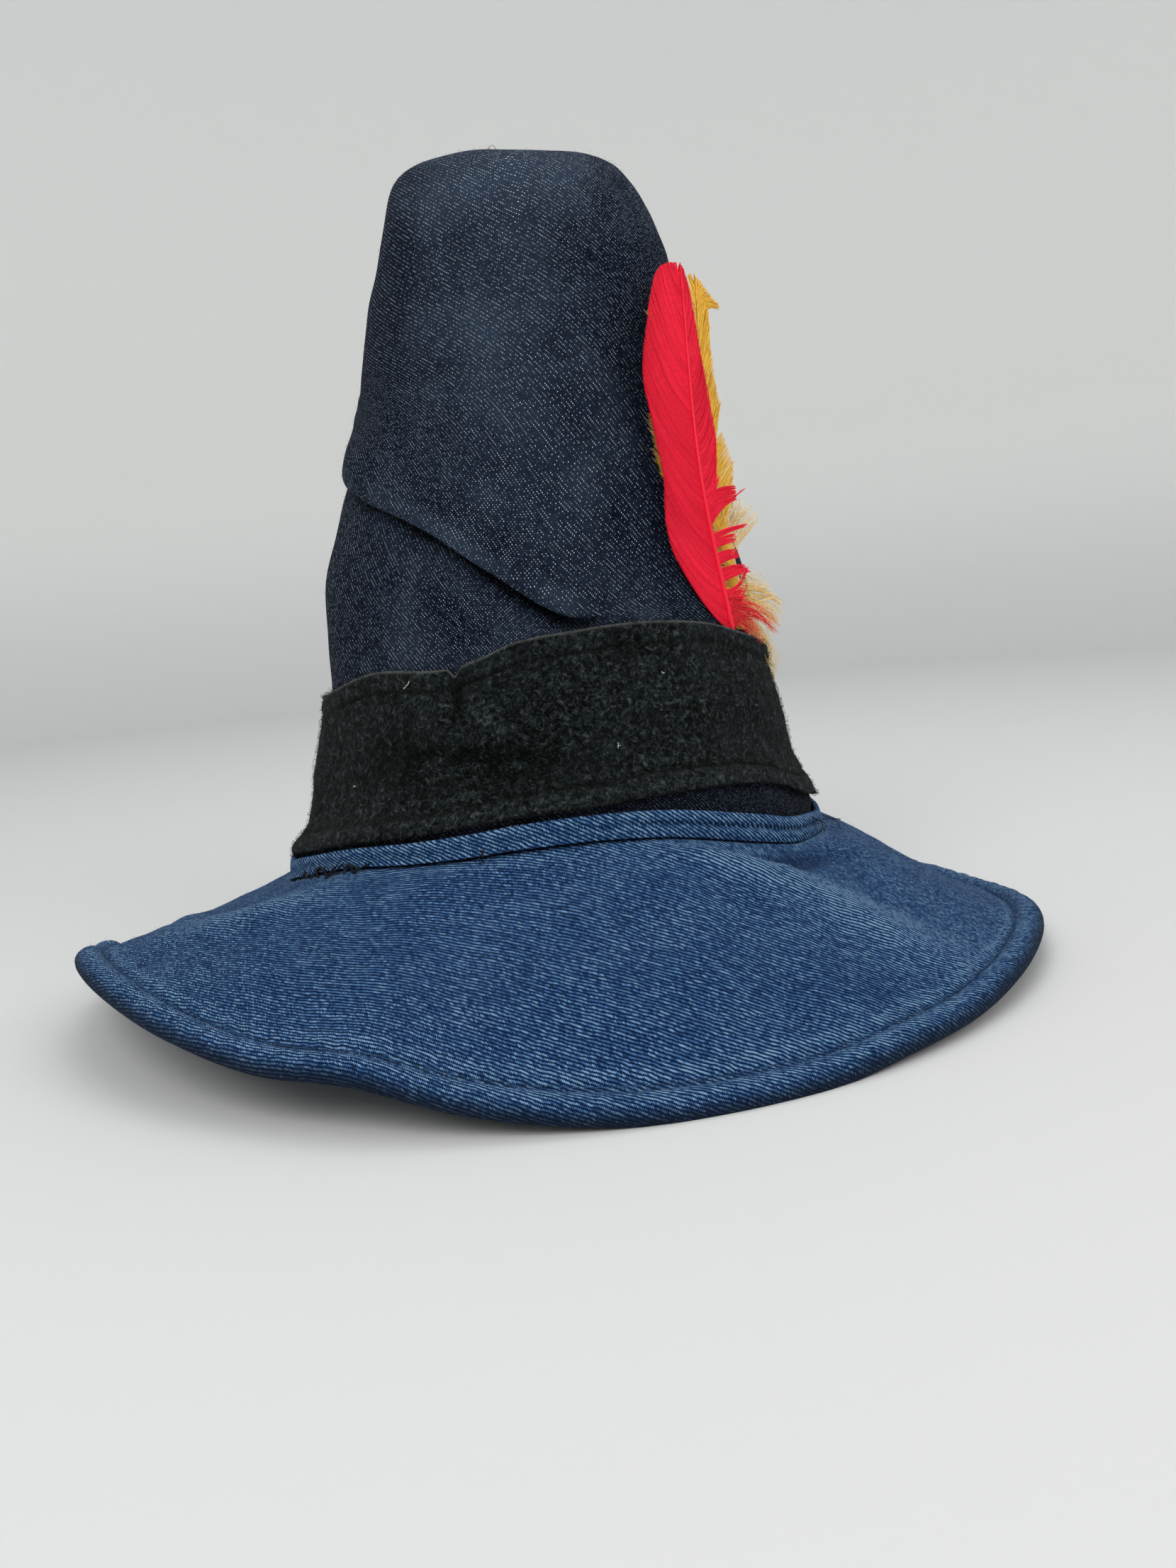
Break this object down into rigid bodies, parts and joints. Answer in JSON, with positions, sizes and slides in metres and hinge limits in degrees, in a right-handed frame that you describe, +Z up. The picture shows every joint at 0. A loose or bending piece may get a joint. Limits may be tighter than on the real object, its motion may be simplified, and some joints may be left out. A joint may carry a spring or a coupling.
{
  "type": "hat",
  "caption": "Soft pointed wizard hat in dark denim with its peak folded back, wide suede band, turned-down blue denim brim with a rolled hem, and a red and a yellow feather.",
  "frame": {"origin": "middle of the hat's footprint, on the surface that it rests on", "axes": "+Z up, the front with the feathers at its right faces -Y, +X to the right as seen from the front, so the feathers are on the +X side"},
  "size_m": [0.3736, 0.3654, 0.3183],
  "materials": {
    "dark_denim": "dark indigo twill, matt, with pale weft specks",
    "black_suede": "charcoal suede, raw nap, matt",
    "blue_denim": "mid blue twill, washed, paler along ridges and seams",
    "red_feather": "dyed coral red vane, soft sheen",
    "yellow_feather": "dyed golden yellow vane and down"
  },
  "bodies": {
    "root": {"crown": "dark_denim", "band": "black_suede", "brim_collar": "blue_denim", "brim": "blue_denim", "red_feather": "red_feather", "yellow_feather": "yellow_feather"}
  },
  "joints": []
}
